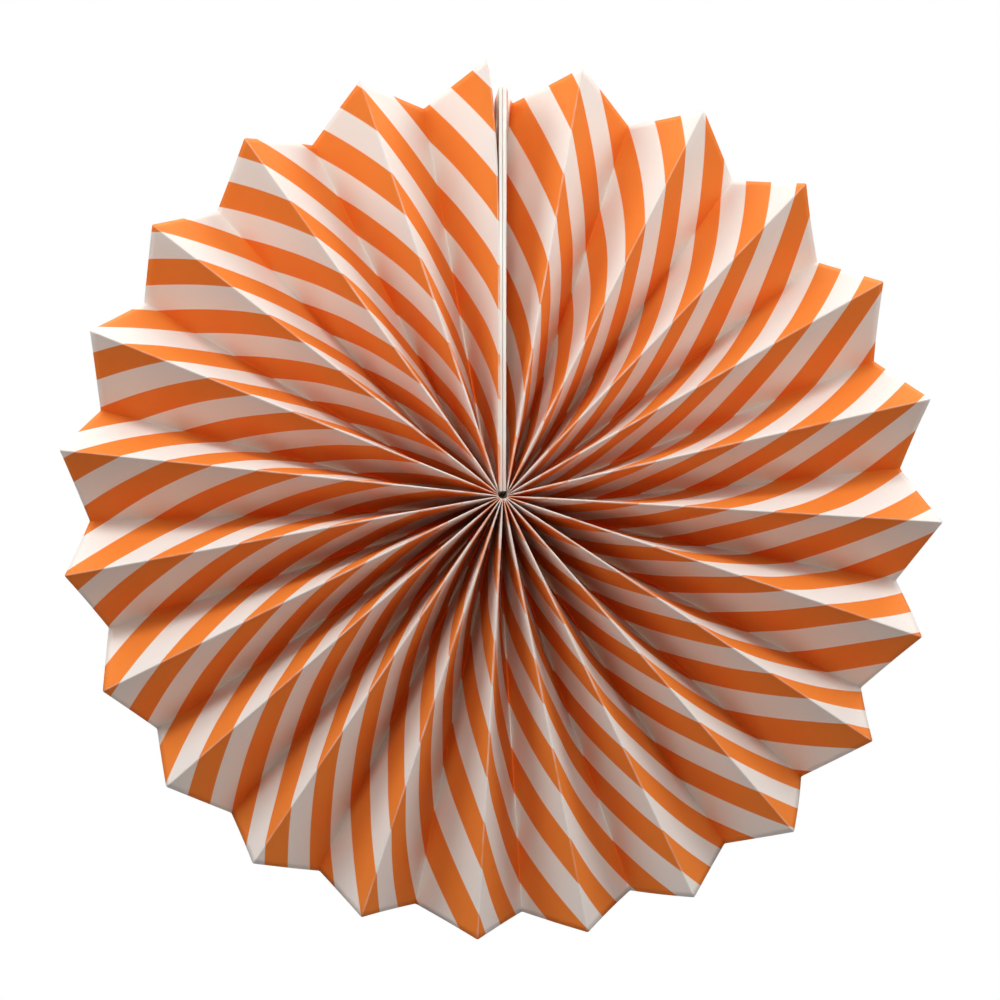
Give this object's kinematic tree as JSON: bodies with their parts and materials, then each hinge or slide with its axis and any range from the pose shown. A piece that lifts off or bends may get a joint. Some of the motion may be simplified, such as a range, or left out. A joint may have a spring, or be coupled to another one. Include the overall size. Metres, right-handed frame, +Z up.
{
  "type": "paper fan rosette",
  "caption": "Round hanging decoration: a striped paper strip pleated and opened into a full ring, closed by two taped card strips and tied at the hub.",
  "frame": {"origin": "centre of the hub, at mid depth, which is the middle of the rosette's box", "axes": "+Z up as it hangs, with the seam and the hanging hole at the top; -Y is the printed front; +X is to the right seen from the front"},
  "size_m": [0.349, 0.0395, 0.3497],
  "materials": {
    "striped_paper": "uncoated, orange and white candy stripes",
    "white_card": "matt white board",
    "clear_tape": "double-sided tape",
    "cotton_thread": "twisted cotton"
  },
  "bodies": {
    "root": {"pleated_paper": "striped_paper", "right_end_card": "white_card", "left_end_card": "white_card", "seam_tape": "clear_tape", "binding_thread": "cotton_thread"}
  },
  "joints": []
}
